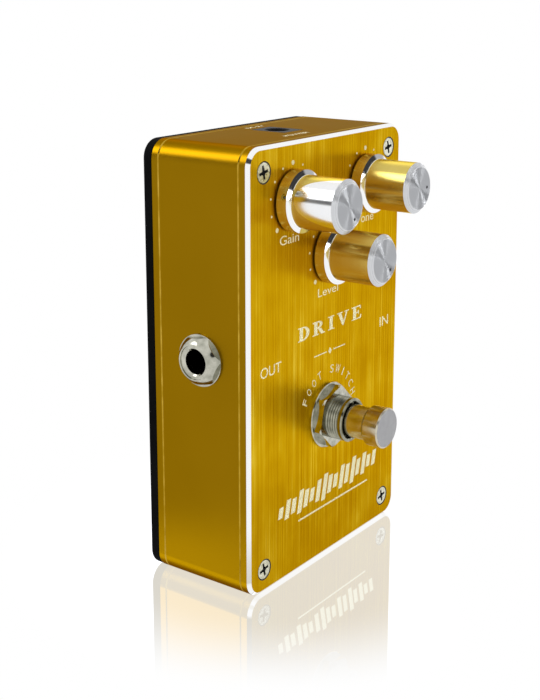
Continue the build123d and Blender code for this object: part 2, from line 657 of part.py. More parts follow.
def make_jack(name, side):
    """One jack: threaded sleeve, domed nut, box and contacts; returns where the box ends."""
    wall_inside = WIDTH / 2 - WALL
    sleeve_start = JACK_SLEEVE_TIP_X - JACK_SLEEVE_LENGTH
    box_front = wall_inside - 1.4
    flange_back = box_front + 0.1
    mouth_bevel = 0.4
    section = Plane(origin=(0, JACK_Y, JACK_Z), x_dir=(side, 0, 0), z_dir=(0, -side, 0))
    with BuildPart() as sleeve:
        with BuildSketch(section):
            with BuildLine():
                Polyline(
                    (sleeve_start, JACK_BORE_RADIUS),
                    (sleeve_start, JACK_SLEEVE_RADIUS),
                    (flange_back, JACK_SLEEVE_RADIUS),
                    (flange_back, JACK_FLANGE_RADIUS),
                    (wall_inside, JACK_FLANGE_RADIUS),
                    (wall_inside, JACK_SLEEVE_RADIUS),
                    (JACK_SLEEVE_TIP_X, JACK_SLEEVE_RADIUS),
                    (JACK_SLEEVE_TIP_X, JACK_BORE_RADIUS + mouth_bevel),
                    (JACK_SLEEVE_TIP_X - mouth_bevel, JACK_BORE_RADIUS),
                    close=True,
                )
            make_face()
        revolve(axis=Axis((0, JACK_Y, JACK_Z), (1, 0, 0)))
    save(sleeve, f"{name}_jack_sleeve")

    # A domed hexagon nut on a round foot: a sphere cuts its corners back almost to the foot.
    nut_plane = side_plane(side, WIDTH / 2)
    with BuildPart() as nut:
        with BuildSketch(nut_plane):
            RegularPolygon(radius=JACK_NUT_FLATS / 3 ** 0.5, side_count=6, rotation=JACK_NUT_TURN)
        extrude(amount=JACK_NUT_THICK)
        with Locations(side_plane(side, WIDTH / 2 - JACK_DOME_SINK)):
            Sphere(JACK_DOME_RADIUS, mode=Mode.INTERSECT)
        with BuildSketch(nut_plane):
            Circle(JACK_FOOT_RADIUS)
        extrude(amount=JACK_FOOT_THICK)
        with BuildSketch(nut_plane):
            Circle(JACK_SLEEVE_RADIUS + THREAD_CLEARANCE)
        extrude(amount=JACK_NUT_THICK, mode=Mode.SUBTRACT)
    save(nut, f"{name}_jack_nut")

    box_wall = 1.5
    end_wall = 1.6
    tag_slot_height = 2.4
    tag_slot_width = 0.9
    with BuildPart() as box:
        with BuildSketch(side_plane(side, box_front)):
            RectangleRounded(JACK_BOX, JACK_BOX, 0.8)
        extrude(amount=-JACK_BOX_LENGTH)
        with BuildSketch(side_plane(side, box_front - end_wall)):
            Rectangle(JACK_BOX - 2 * box_wall, JACK_BOX - 2 * box_wall)
        extrude(amount=-(JACK_BOX_LENGTH - 2 * end_wall), mode=Mode.SUBTRACT)
        with BuildSketch(side_plane(side, box_front + 1)):
            Circle(JACK_SLEEVE_RADIUS + THREAD_CLEARANCE)
        extrude(amount=-2 * end_wall, mode=Mode.SUBTRACT)
        with BuildSketch(side_plane(side, box_front - JACK_BOX_LENGTH)):
            with GridLocations(0, 2 * JACK_TAG_OFFSET, 1, 2):
                Rectangle(tag_slot_height, tag_slot_width)
        extrude(amount=2 * end_wall, mode=Mode.SUBTRACT)
    save(box, f"{name}_jack_box")

    # Two sprung contacts run from the solder tags at the back, with a raised bow that presses on the plug.
    box_end = box_front - JACK_BOX_LENGTH
    tag_end = box_end - 2.6
    bow_start = box_end + 6.0
    bow_top = box_end + 9.0
    bow_end = box_end + 12.0
    with BuildPart() as contacts:
        for up in (1, -1):
            with BuildSketch(section):
                with BuildLine():
                    FilletPolyline(
                        (tag_end, up * JACK_TAG_OFFSET),
                        (bow_start, up * JACK_TAG_OFFSET),
                        (bow_top, up * 3.7),
                        (bow_end, up * 4.9),
                        radius=1.5,
                    )
                trace(line_width=CONTACT_THICK)
            extrude(amount=TAG_HALF_WIDTH, both=True)
    save(contacts, f"{name}_jack_contacts")
    return box_end


def make_power_socket():
    """The socket's body, centre pin and contacts; returns where the contacts end."""
    bottom = HEIGHT - POWER_HEIGHT
    tail_z = bottom - 2.5
    pin_length = POWER_HEIGHT + 1.2
    blade_width = 0.4
    blade_height = 2.0
    slot_depth = 6.0
    with BuildPart() as body:
        with BuildSketch(Plane.XY.offset(bottom)):
            with Locations((0, POWER_Y)):
                Rectangle(POWER_WIDTH, POWER_DEPTH)
        extrude(amount=POWER_HEIGHT)
        with BuildSketch(Plane.XY.offset(HEIGHT)):
            with Locations((0, POWER_Y)):
                Circle(POWER_BORE_RADIUS)
        extrude(amount=-POWER_BORE_DEPTH, mode=Mode.SUBTRACT)
        mouth = body.edges().filter_by(GeomType.CIRCLE).sort_by(Axis.Z)[-1]
        chamfer(mouth, length=0.3)
        with BuildSketch(Plane.XY.offset(bottom)):
            with Locations((0, POWER_Y)):
                Circle(POWER_PIN_RADIUS + 0.01)
            with Locations((BLADE_X, POWER_Y), (-BLADE_X, POWER_Y)):
                Rectangle(blade_width + 0.1, blade_height + 0.2)
        extrude(amount=slot_depth, mode=Mode.SUBTRACT)
    save(body, "power_socket_body")

    with BuildPart() as pin:
        with BuildSketch(Plane.XY.offset(tail_z)):
            with Locations((0, POWER_Y)):
                Circle(POWER_PIN_RADIUS)
        extrude(amount=pin_length)
        fillet(pin.edges().sort_by(Axis.Z)[-1], radius=0.5)
    save(pin, "power_socket_pin")

    with BuildPart() as contacts:
        with BuildSketch(Plane.XY.offset(tail_z)):
            with Locations((BLADE_X, POWER_Y), (-BLADE_X, POWER_Y)):
                Rectangle(blade_width, blade_height)
        extrude(amount=slot_depth + 2.0)
    save(contacts, "power_socket_contacts")
    return tail_z


# ==== Circuit ===================================================================================

def make_main_board():
    height = BOARD_TOP_Z - BOARD_BOTTOM_Z
    centre_z = (BOARD_TOP_Z + BOARD_BOTTOM_Z) / 2
    notch_width = 13.0          # lets the power socket through
    notch_bottom = 99.5
    notch_height = 20.0
    boss_clearance = 0.6
    with BuildPart() as board:
        with BuildSketch(front_plane(height_of(BOARD_BACK_Y), 0, centre_z)):
            RectangleRounded(BOARD_WIDTH, height, 1.0)
            with Locations((0, notch_bottom - centre_z + notch_height / 2)):
                Rectangle(notch_width, notch_height, mode=Mode.SUBTRACT)
        extrude(amount=BOARD_THICK)
        with BuildSketch(front_plane(height_of(BOARD_BACK_Y))):
            with GridLocations(SCREW_SPACING_X, SCREW_SPACING_Z, 2, 2):
                Circle(BOSS_RADIUS + boss_clearance)
        extrude(amount=BOARD_THICK, mode=Mode.SUBTRACT)
    save(board, "main_board")


def behind_board(x, z, gap=0.0):
    """A plane a gap behind the main board's back face; a negative extrusion from it goes backwards."""
    return front_plane(height_of(BOARD_BACK_Y) - gap, x, z)


def make_chips():
    chip_x = 18.0
    chip_z = 92.0
    chip_width = 9.6
    chip_height = 6.4
    chip_thick = 3.2
    stand_off = 0.6
    pin_pitch = 2.54
    pin_rows_apart = 7.0
    pin_width = 0.5
    pin_height = 0.8
    with BuildPart() as chips:
        for x in (-chip_x, chip_x):
            with BuildSketch(behind_board(x, chip_z, stand_off)):
                Rectangle(chip_width, chip_height)
            extrude(amount=-chip_thick)
            with BuildSketch(behind_board(x, chip_z)):
                with GridLocations(pin_pitch, pin_rows_apart, 4, 2):
                    Rectangle(pin_width, pin_height)
            extrude(amount=-stand_off - chip_thick / 2)
    save(chips, "amplifier_chips")


def make_electrolytics():
    pair_x = 18.0
    spacing = 9.0
    can_z = 79.0
    can_radius = 2.5
    can_length = 7.5
    with BuildPart() as cans:
        with BuildSketch(behind_board(0, can_z)):
            with GridLocations(spacing, 0, 2, 1):
                with Locations((-pair_x, 0), (pair_x, 0)):
                    Circle(can_radius)
        extrude(amount=-can_length)
        fillet(cans.faces().sort_by(Axis.Y)[-4:].edges(), radius=0.4)
    save(cans, "electrolytic_capacitors")


def make_film_capacitors():
    pair_x = 14.5
    spacing = 7.0
    block_z = 102.0
    block_width = 3.0
    block_height = 7.2
    block_length = 6.5
    with BuildPart() as blocks:
        with BuildSketch(behind_board(0, block_z)):
            with GridLocations(spacing, 0, 2, 1):
                with Locations((-pair_x, 0), (pair_x, 0)):
                    RectangleRounded(block_width, block_height, 0.4)
        extrude(amount=-block_length)
    save(blocks, "film_capacitors")


def make_resistors():
    rows = 2
    columns = 4
    first_x = -4.5
    column_pitch = 3.0
    first_z = 83.0
    row_pitch = 9.0
    body_radius = 1.1
    half_body = 3.0
    half_span = 3.9
    lead_thick = 0.5
    y = BOARD_BACK_Y + 0.2 + body_radius
    with BuildPart() as resistors:
        for row in range(rows):
            for column in range(columns):
                x = first_x + column_pitch * column
                z = first_z + row_pitch * row
                with BuildSketch(Plane(origin=(x, y, z), x_dir=(1, 0, 0), z_dir=(0, 0, 1))):
                    Circle(body_radius)
                extrude(amount=half_body, both=True)
                with BuildSketch(Plane.YZ.offset(x)):
                    with BuildLine():
                        FilletPolyline(
                            (BOARD_BACK_Y, z - half_span),
                            (y, z - half_span),
                            (y, z + half_span),
                            (BOARD_BACK_Y, z + half_span),
                            radius=0.5,
                        )
                    trace(line_width=lead_thick)
                extrude(amount=lead_thick / 2, both=True)
    save(resistors, "resistors")


def make_status_led():
    flange_radius = 1.9
    flange_front = -3.2
    flange_back = -4.2
    crown = 0.9
    leg_x = 1.0
    leg_z = 97.5
    leg_thick = 0.5
    turn_y = FACE_Y + 6.5
    with BuildPart() as led:
        with BuildSketch(turning_plane(0, LED_Z)):
            with BuildLine():
                Polyline(
                    (0, crown),
                    (LED_RADIUS * 0.55, crown * 0.75),
                    (LED_RADIUS, -0.2),
                    (LED_RADIUS, flange_front),
                    (flange_radius, flange_front),
                    (flange_radius, flange_back),
                    (0, flange_back),
                    close=True,
                )
            make_face()
        revolve(axis=front_axis(0, LED_Z))
        # Both legs drop behind the plate and turn back into the board below its notch.
        for x in (-leg_x, leg_x):
            with BuildSketch(Plane.YZ.offset(x)):
                with BuildLine():
                    FilletPolyline(
                        (FACE_Y - flange_back - 0.1, LED_Z),
                        (turn_y, LED_Z),
                        (turn_y, leg_z),
                        (BOARD_FRONT_Y, leg_z),
                        radius=0.8,
                    )
                trace(line_width=leg_thick)
            extrude(amount=leg_thick / 2, both=True)
    save(led, "status_led")


def wire(*points):
    """One insulated wire along straight runs joined by arcs."""
    with BuildPart() as piece:
        with BuildLine() as route:
            FilletPolyline(*points, radius=1.6)
        with BuildSketch(Plane(origin=route.line @ 0, z_dir=route.line % 0)):
            Circle(WIRE_RADIUS)
        sweep(path=route.line)
    return piece


def make_ribbon(board_back_y):
    """The flat cable that joins the switch board's back to the main board's back."""
    low_z = 51.6
    high_z = 76.5
    slack_y = board_back_y + 2.4
    half_width = 5.0
    with BuildPart() as ribbon:
        with BuildSketch(Plane.YZ):
            with BuildLine():
                FilletPolyline(
                    (board_back_y, low_z),
                    (slack_y, low_z),
                    (slack_y, high_z),
                    (BOARD_BACK_Y, high_z),
                    radius=1.2,
                )
            trace(line_width=0.9)
        extrude(amount=half_width, both=True)
    save(ribbon, "ribbon_cable")


def make_jack_wires(box_end):
    """Each solder tag's wire rises behind the jack box and turns forward into the main board."""
    # the tag above or below the jack's axis, where its wire rises, and where it meets the board
    routes = ((JACK_TAG_OFFSET, 2.6, 81.0), (-JACK_TAG_OFFSET, 4.4, 83.5))
    start_y = JACK_Y + TAG_HALF_WIDTH
    with BuildPart() as jack_wires:
        for side in (LEFT, RIGHT):
            x = side * (box_end - 2.0)
            for offset, rise_y, board_z in routes:
                tag_z = JACK_Z + offset + CONTACT_THICK / 2 + WIRE_RADIUS
                joined = wire(
                    (x, start_y, tag_z),
                    (x, rise_y, tag_z),
                    (x, rise_y, board_z),
                    (x, BOARD_BACK_Y, board_z),
                )
                add(joined.part)
    save(jack_wires, "jack_wires")


def make_power_wires(contact_bottom):
    """Two wires from the power socket's contacts, down past the notch and into the main board."""
    board_z = 96.5
    with BuildPart() as power_wires:
        for x in (-BLADE_X, BLADE_X):
            joined = wire((x, POWER_Y, contact_bottom), (x, POWER_Y, board_z), (x, BOARD_BACK_Y, board_z))
            add(joined.part)
    save(power_wires, "power_wires")


if __name__ == "__main__":
    os.makedirs("parts", exist_ok=True)
    make_housing()
    make_front_plate()
    make_back_cover()
    make_rubber_mat()
    make_case_screws("plate_screws", FACE_Y, 1)
    make_case_screws("cover_screws", COVER_BACK_Y, -1)
    for knob_name, (knob_x, knob_z, dot_angle, screw_angle) in KNOBS.items():
        make_knob(knob_name, knob_x, knob_z, screw_angle)
        make_knob_cap(knob_name, knob_x, knob_z, dot_angle)
        make_set_screw(knob_name, knob_x, knob_z, screw_angle)
        make_pot_body(knob_name, knob_x, knob_z)
        make_pot_shaft(knob_name, knob_x, knob_z, screw_angle)
    make_pot_hardware()
    make_switch_bushing()
    make_switch_hardware()
    make_plunger()
    make_switch_body()
    make_switch_spring()
    make_switch_lugs()
    switch_board_back_y = make_switch_board()
    for jack_name, jack_side in (("output", LEFT), ("input", RIGHT)):
        jack_end = make_jack(jack_name, jack_side)
    make_jack_wires(jack_end)
    make_power_wires(make_power_socket())
    make_main_board()
    make_chips()
    make_electrolytics()
    make_film_capacitors()
    make_resistors()
    make_status_led()
    make_ribbon(switch_board_back_y)
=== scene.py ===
"""Looks of a three-knob guitar effects pedal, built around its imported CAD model.

Everything is in metres in the CAD frame: +X right as the player sees the front plate, +Y from the plate to the
rubber mat, +Z up to the power socket.
"""
import math

import bmesh
import bpy
from mathutils import Matrix, Vector


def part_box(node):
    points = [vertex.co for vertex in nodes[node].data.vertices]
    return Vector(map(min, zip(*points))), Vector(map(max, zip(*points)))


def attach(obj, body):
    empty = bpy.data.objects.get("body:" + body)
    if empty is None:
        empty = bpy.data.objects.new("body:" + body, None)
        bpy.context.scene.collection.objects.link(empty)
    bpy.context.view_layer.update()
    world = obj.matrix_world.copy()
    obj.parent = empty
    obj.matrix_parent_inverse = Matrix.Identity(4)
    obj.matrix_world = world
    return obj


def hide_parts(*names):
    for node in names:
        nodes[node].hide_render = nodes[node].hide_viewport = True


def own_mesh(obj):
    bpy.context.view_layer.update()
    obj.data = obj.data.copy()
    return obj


MM = 0.001

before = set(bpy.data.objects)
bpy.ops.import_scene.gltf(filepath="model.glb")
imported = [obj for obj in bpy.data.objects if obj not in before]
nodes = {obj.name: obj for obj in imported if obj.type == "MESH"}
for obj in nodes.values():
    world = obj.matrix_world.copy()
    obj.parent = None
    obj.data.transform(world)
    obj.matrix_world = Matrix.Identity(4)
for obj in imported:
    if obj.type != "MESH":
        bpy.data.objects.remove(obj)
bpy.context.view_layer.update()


def middle(node):
    low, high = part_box(node)
    return (low + high) / 2


FACE_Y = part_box("front_plate")[0].y
TOP_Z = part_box("housing")[1].z
SWITCH = middle("footswitch_plunger")
KNOBS = {name: middle(f"{name}_knob") for name in ("gain", "tone", "level")}
KNOB_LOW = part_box("gain_knob")[0]
SCREW_LOW, SCREW_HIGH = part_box("plate_screws")
FRONT_SCREWS = SCREW_LOW
BACK_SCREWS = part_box("cover_screws")[1]
RECESS_REACH = 0.5 * MM
SCREW_HEAD = 2.55 * MM
SCREW_XS = (SCREW_LOW.x + SCREW_HEAD, SCREW_HIGH.x - SCREW_HEAD)
SCREW_ZS = (SCREW_LOW.z + SCREW_HEAD, SCREW_HIGH.z - SCREW_HEAD)
SINK_RADIUS = 3.1 * MM          # reaches past the screw sinks
RECESS_RADIUS = 1.95 * MM       # reaches past the cross recess of a screw
FLAT = 0.98                     # a face counts as square to y when its normal has this much y
FACING = 0.3                    # and as turned to the front when it has this much

# ---- Materials -------------------------------------------------------------------------------------------------


class Shader:
    """A Principled material, with short calls that add nodes to it."""

    def __init__(self, name, **sockets):
        self.material = bpy.data.materials.new(name)
        self.material.use_nodes = True
        self.tree = self.material.node_tree
        self.surface = self.tree.nodes["Principled BSDF"]
        for socket, value in sockets.items():
            self.surface.inputs[socket.replace("_", " ")].default_value = value

    def add(self, kind, values=None, **settings):
        node = self.tree.nodes.new("ShaderNode" + kind)
        for key, value in settings.items():
            setattr(node, key, value)
        for key, value in (values or {}).items():
            if isinstance(value, bpy.types.NodeSocket):
                self.tree.links.new(value, node.inputs[key])
            else:
                node.inputs[key].default_value = value
        return node

    def feed(self, socket, output):
        self.tree.links.new(output, self.surface.inputs[socket])

    def place(self):
        return self.add("TexCoord").outputs["Object"]

    def noise(self, size, detail, place=None):
        """Noise whose features are about size metres long along x, y and z."""
        scale = [1 / s for s in size]
        mapped = self.add("Mapping", {"Vector": place or self.place(), "Scale": scale})
        return self.add("TexNoise", {"Vector": mapped.outputs[0], "Scale": 1.0, "Detail": detail}).outputs[0]

    def sum(self, *weighted):
        """The weighted sum of (output, weight) pairs."""
        total = 0.0
        for output, weight in weighted:
            node = self.add("Math", {0: output, 1: weight, 2: total}, operation="MULTIPLY_ADD")
            total = node.outputs[0]
        return total

    def math(self, operation, a, b=0.0, c=0.0):
        return self.add("Math", {0: a, 1: b, 2: c}, operation=operation).outputs[0]

    def ramp(self, factor, *stops):
        """A colour ramp through (position, (r, g, b)) stops."""
        ramp = self.add("ValToRGB", {0: factor})
        elements = ramp.color_ramp.elements
        while len(elements) < len(stops):
            elements.new(0.5)
        for element, (position, colour) in zip(elements, stops):
            element.position = position
            element.color = (*colour, 1)
        return ramp.outputs[0]

    def range(self, value, low, high, to_low=0.0, to_high=1.0):
        """The value, clamped from low to high and carried over to to_low to to_high."""
        return self.add("MapRange", {0: value, 1: low, 2: high, 3: to_low, 4: to_high}).outputs[0]

    def mix(self, factor, a, b):
        values = {0: factor, 6: a, 7: b}
        return self.add("Mix", values, data_type="RGBA").outputs[2]

    def bump(self, height, distance, strength):
        values = {"Height": height, "Distance": distance, "Strength": strength}
        self.feed("Normal", self.add("Bump", values).outputs[0])

    def tangent(self, axis):
        node = self.add("Tangent", direction_type="RADIAL", axis=axis)
        self.feed("Tangent", node.outputs[0])


def rgb(red, green, blue):
    return (red, green, blue, 1)


def make_brushed_gold():
    """Anodised plate face, brushed along its length."""
    s = Shader("brushed_gold", Metallic=1.0, Roughness=0.3, Anisotropic=0.6)
    s.surface.inputs["Specular Tint"].default_value = rgb(0.72, 0.42, 0.03)
    fine = s.noise((0.00014, 1, 0.040), 3)
    broad = s.noise((0.0006, 1, 0.080), 2)
    patches = s.noise((0.010, 1, 0.016), 2)
    tone = s.sum((fine, 0.40), (broad, 0.32), (patches, 0.28))
    s.feed("Base Color", s.ramp(tone, (0.36, (0.46, 0.24, 0.001)), (0.48, (0.57, 0.32, 0.005)),
                                (0.56, (0.67, 0.42, 0.014)), (0.66, (0.88, 0.68, 0.09))))
    s.feed("Roughness", s.range(fine, 0.3, 0.7, 0.24, 0.42))
    s.bump(s.sum((fine, 0.7), (broad, 0.3)), 0.00001, 0.5)
    s.tangent("Z")
    return s.material


def make_satin_gold():
    """Bead-blasted and anodised shell."""
    s = Shader("satin_gold", Metallic=1.0, Roughness=0.33)
    s.surface.inputs["Specular Tint"].default_value = rgb(0.46, 0.33, 0.0)
    grain = s.noise((0.00012, 0.00012, 0.00012), 2)
    cloud = s.noise((0.03, 0.03, 0.03), 2)
    s.feed("Base Color", s.ramp(s.sum((grain, 0.5), (cloud, 0.5)), (0.3, (0.245, 0.130, 0.002)),
                                (0.7, (0.295, 0.158, 0.0035))))
    s.feed("Roughness", s.range(cloud, 0.3, 0.7, 0.30, 0.36))
    s.bump(grain, 0.000008, 0.5)
    return s.material


def make_gold_edge():
    """The small bevels, cut after blasting, so smoother and brighter than the shell."""
    s = Shader("gold_edge", Metallic=1.0, Roughness=0.2)
    wear = s.noise((0.004, 0.004, 0.004), 4)
    s.feed("Base Color", s.ramp(wear, (0.35, (0.40, 0.24, 0.012)), (0.7, (0.58, 0.38, 0.05))))
    return s.material


def make_bare_cut():
    """Diamond-cut aluminium, with the cutter's faint lines."""
    s = Shader("bare_cut", Metallic=1.0, Roughness=0.08)
    lines = s.noise((0.00008, 0.003, 0.00008), 2)
    s.feed("Base Color", s.ramp(lines, (0.3, (0.86, 0.87, 0.88)), (0.7, (0.97, 0.97, 0.97))))
    s.feed("Roughness", s.range(lines, 0.3, 0.7, 0.05, 0.13))
    s.bump(lines, 0.000004, 0.3)
    return s.material


def make_knob_gold(name, flank=None):
    """Turned and anodised grip; flank, if given, is the (centre, angle) of a bare-metal tongue milled through."""
    s = Shader(name, Metallic=1.0, Roughness=0.26, Anisotropic=0.75, Anisotropic_Rotation=0.25)
    s.surface.inputs["Specular Tint"].default_value = rgb(0.86, 0.70, 0.32)
    rings = s.noise((0.05, 0.00015, 0.05), 2)
    colour = s.ramp(rings, (0.3, (0.62, 0.49, 0.12)), (0.7, (0.68, 0.54, 0.15)))
    gloss = s.range(rings, 0.3, 0.7, 0.23, 0.27)
    if flank:
        centre, angle = flank
        grip_radius = 6.9 * MM
        tongue_start = FACE_Y - 5.0 * MM
        tongue_end = KNOB_LOW.y + 1.1 * MM
        toward = (math.cos(angle), 0, math.sin(angle))
        place = s.add("VectorMath", {0: s.place(), 1: centre}, operation="SUBTRACT").outputs[0]
        reach = s.add("VectorMath", {0: place, 1: toward}, operation="DOT_PRODUCT").outputs["Value"]
        along = s.add("SeparateXYZ", {0: s.place()}).outputs["Y"]
        rise = s.math("DIVIDE", s.math("SUBTRACT", tongue_start, along), tongue_start - tongue_end)
        widened = s.math("MULTIPLY_ADD", rise, reach, reach)
        inside = s.range(s.math("DIVIDE", widened, grip_radius), 0.995, 1.005)
        bare = s.math("MULTIPLY", inside, s.math("GREATER_THAN", rise, 0.0))
        silver = s.ramp(rings, (0.3, (0.86, 0.87, 0.89)), (0.7, (0.92, 0.92, 0.93)))
        colour = s.mix(bare, colour, silver)
        gloss = s.sum((gloss, 1.0), (bare, -0.12))
    s.feed("Base Color", colour)
    s.feed("Roughness", gloss)
    s.tangent("Y")
    return s.material


def make_bare_turned():
    """The diamond-turned bare step of a knob."""
    s = Shader("bare_turned", Metallic=1.0, Roughness=0.08)
    rings = s.noise((0.05, 0.0001, 0.05), 2)
    s.feed("Base Color", s.ramp(rings, (0.3, (0.88, 0.89, 0.90)), (0.7, (0.97, 0.97, 0.97))))
    s.feed("Roughness", s.range(rings, 0.3, 0.7, 0.05, 0.12))
    return s.material


def make_spun(name, centre, low, high, roughness):
    """Face-turned aluminium, whose fine rings round the centre fan out each light into a pair of rays."""
    s = Shader(name, Metallic=1.0, Roughness=roughness, Anisotropic=1.0, Anisotropic_Rotation=0.25)
    place = s.add("VectorMath", {0: s.place(), 1: centre}, operation="SUBTRACT").outputs[0]
    flat = s.add("VectorMath", {0: place, 1: (1, 0, 1)}, operation="MULTIPLY").outputs[0]
    radius = s.add("VectorMath", {0: flat}, operation="LENGTH").outputs["Value"]
    rings = s.noise((0.00009, 1, 1), 2, s.add("CombineXYZ", {"X": radius}).outputs[0])
    s.feed("Base Color", s.ramp(rings, (0.3, low), (0.7, high)))
    s.feed("Roughness", s.range(rings, 0.3, 0.7, roughness - 0.03, roughness + 0.03))
    s.tangent("Y")
    return s.material


def make_plating(name, low, high, roughness, spots=0.002):
    """Plated metal between two tints, with soft smears in its gloss."""
    s = Shader(name, Metallic=1.0, Roughness=roughness)
    cloud = s.noise((spots, spots, spots), 3)
    s.feed("Base Color", s.ramp(cloud, (0.3, low), (0.7, high)))
    s.feed("Roughness", s.range(cloud, 0.25, 0.75, roughness * 0.75, roughness * 1.35))
    return s.material


def make_moulded(name, low, high, roughness, grain=0.0002, depth=0.00001, gloss=0.5):
    """Moulded rubber or plastic, with a fine grain."""
    s = Shader(name, Roughness=roughness)
    s.surface.inputs["Specular IOR Level"].default_value = gloss
    fine = s.noise((grain, grain, grain), 2)
    cloud = s.noise((0.01, 0.01, 0.01), 2)
    s.feed("Base Color", s.ramp(cloud, (0.3, low), (0.7, high)))
    s.feed("Roughness", s.range(fine, 0.3, 0.7, roughness * 0.85, roughness * 1.15))
    s.bump(fine, depth, 0.6)
    return s.material


def make_ink():
    s = Shader("cream_ink", Roughness=0.5)
    grain = s.noise((0.0002, 0.0002, 0.0002), 2)
    s.feed("Base Color", s.ramp(grain, (0.3, (0.80, 0.74, 0.42)), (0.7, (0.90, 0.85, 0.55))))
    s.feed("Roughness", s.range(grain, 0.3, 0.7, 0.42, 0.6))
    return s.material


# Near-black: painted shade in the screw recesses and the screw sinks, and the floors of the sunk pointer dots on
# the knob caps.
def make_shade_and_dot_black():
    s = Shader("recess_shade_dot_black", Roughness=0.6)
    grain = s.noise((0.0005, 0.0005, 0.0005), 2)
    s.feed("Base Color", s.ramp(grain, (0.3, (0.004, 0.004, 0.004)), (0.7, (0.009, 0.009, 0.008))))
    return s.material


def paint(node, material):
    mesh = nodes[node].data
    mesh.materials.clear()
    mesh.materials.append(material)


def paint_faces(node, materials, choose):
    """Gives each face of a CAD node one of the materials; choose(face normal, face centre) is its index."""
    mesh = nodes[node].data
    mesh.materials.clear()
    for material in materials:
        mesh.materials.append(material)
    for face in mesh.polygons:
        face.material_index = choose(face.normal, face.center)


satin_gold = make_satin_gold()
brushed_gold = make_brushed_gold()
gold_edge = make_gold_edge()
bare_cut = make_bare_cut()
bare_turned = make_bare_turned()
ink = make_ink()
recess_shade_dot_black = make_shade_and_dot_black()
nickel = make_plating("nickel", (0.34, 0.34, 0.28), (0.58, 0.57, 0.49), 0.09)
threads = make_plating("rolled_threads", (0.20, 0.20, 0.15), (0.38, 0.37, 0.29), 0.12)
chrome = make_plating("chrome", (0.50, 0.46, 0.36), (0.64, 0.60, 0.48), 0.17)
steel = make_plating("dull_steel", (0.40, 0.40, 0.39), (0.52, 0.52, 0.50), 0.32)
tin = make_plating("tinned_contacts", (0.55, 0.54, 0.50), (0.70, 0.69, 0.66), 0.3)
screw_nickel = make_plating("screw_nickel", (0.56, 0.56, 0.44), (0.84, 0.84, 0.70), 0.3, 0.0008)
satin_end = make_plating("satin_end", (0.34, 0.34, 0.35), (0.42, 0.42, 0.43), 0.45, 0.0015)
rubber = make_moulded("black_rubber", (0.0012, 0.0012, 0.0014), (0.003, 0.003, 0.0033), 0.8, 0.0003, gloss=0.04)
black_plastic = make_moulded("black_plastic", (0.008, 0.008, 0.010), (0.014, 0.014, 0.016), 0.5, gloss=0.08)
board_green = make_moulded("circuit_board", (0.01, 0.09, 0.03), (0.02, 0.14, 0.05), 0.4, 0.0004)
film_red = make_moulded("film_capacitor", (0.25, 0.02, 0.01), (0.36, 0.03, 0.02), 0.35)
sleeve_blue = make_moulded("capacitor_sleeve", (0.012, 0.02, 0.07), (0.02, 0.035, 0.11), 0.3)
resistor_blue = make_moulded("resistor_coating", (0.30, 0.34, 0.42), (0.40, 0.46, 0.55), 0.4)
lens_blue = make_moulded("led_lens", (0.55, 0.60, 0.68), (0.70, 0.75, 0.82), 0.12)
cable_grey = make_moulded("cable_sheath", (0.16, 0.16, 0.17), (0.24, 0.24, 0.25), 0.5)


def sloped(normal):
    """Whether a face lies at 45 degrees between the sides and the front or back."""
    return abs(abs(normal.y) - math.sqrt(0.5)) < 0.05


def from_screw(place):
    """Distance from the axis of the nearest case screw."""
    return min(math.hypot(place.x - x, place.z - z) for x in SCREW_XS for z in SCREW_ZS)


def shell_face(normal, centre):
    """0 the blasted outside, 1 the small bevels between it and the flat ends, 2 the screw sinks, painted
    near-black as shade.
    """
    if from_screw(centre) < SINK_RADIUS and abs(normal.y) < FLAT:
        return 2
    return 1 if sloped(normal) else 0


def plate_face(normal, centre):
    """0 the brushed face, 1 the diamond-cut edge, 2 the satin side, 3 the small bevel behind, 4 the sinks,
    painted near-black as shade.
    """
    if normal.y < -FLAT:
        return 0
    if from_screw(centre) < SINK_RADIUS:
        return 4
    if normal.y < -FACING and centre.y < FACE_Y + 1.0 * MM:
        return 1
    return 3 if sloped(normal) else 2


def screw_face(normal, centre):
    """0 the plated head, 1 the recess, whose walls lean steeply, painted near-black as shade."""
    dark = abs(normal.y) < 0.6 or is_recess_floor(centre)
    return 1 if dark and from_screw(centre) < RECESS_RADIUS else 0


def is_recess_floor(centre):
    return FRONT_SCREWS.y + RECESS_REACH < centre.y < 0 or 0 < centre.y < BACK_SCREWS.y - RECESS_REACH


# The screw sinks and the cross recesses of the screws are painted near-black as shade.
paint_faces("housing", [satin_gold, gold_edge, recess_shade_dot_black], shell_face)
paint_faces("back_cover", [satin_gold, gold_edge, recess_shade_dot_black], shell_face)
paint_faces("front_plate", [brushed_gold, bare_cut, satin_gold, gold_edge, recess_shade_dot_black], plate_face)
paint("rubber_mat", rubber)
for name in ("plate_screws", "cover_screws"):
    paint_faces(name, [screw_nickel, recess_shade_dot_black], screw_face)

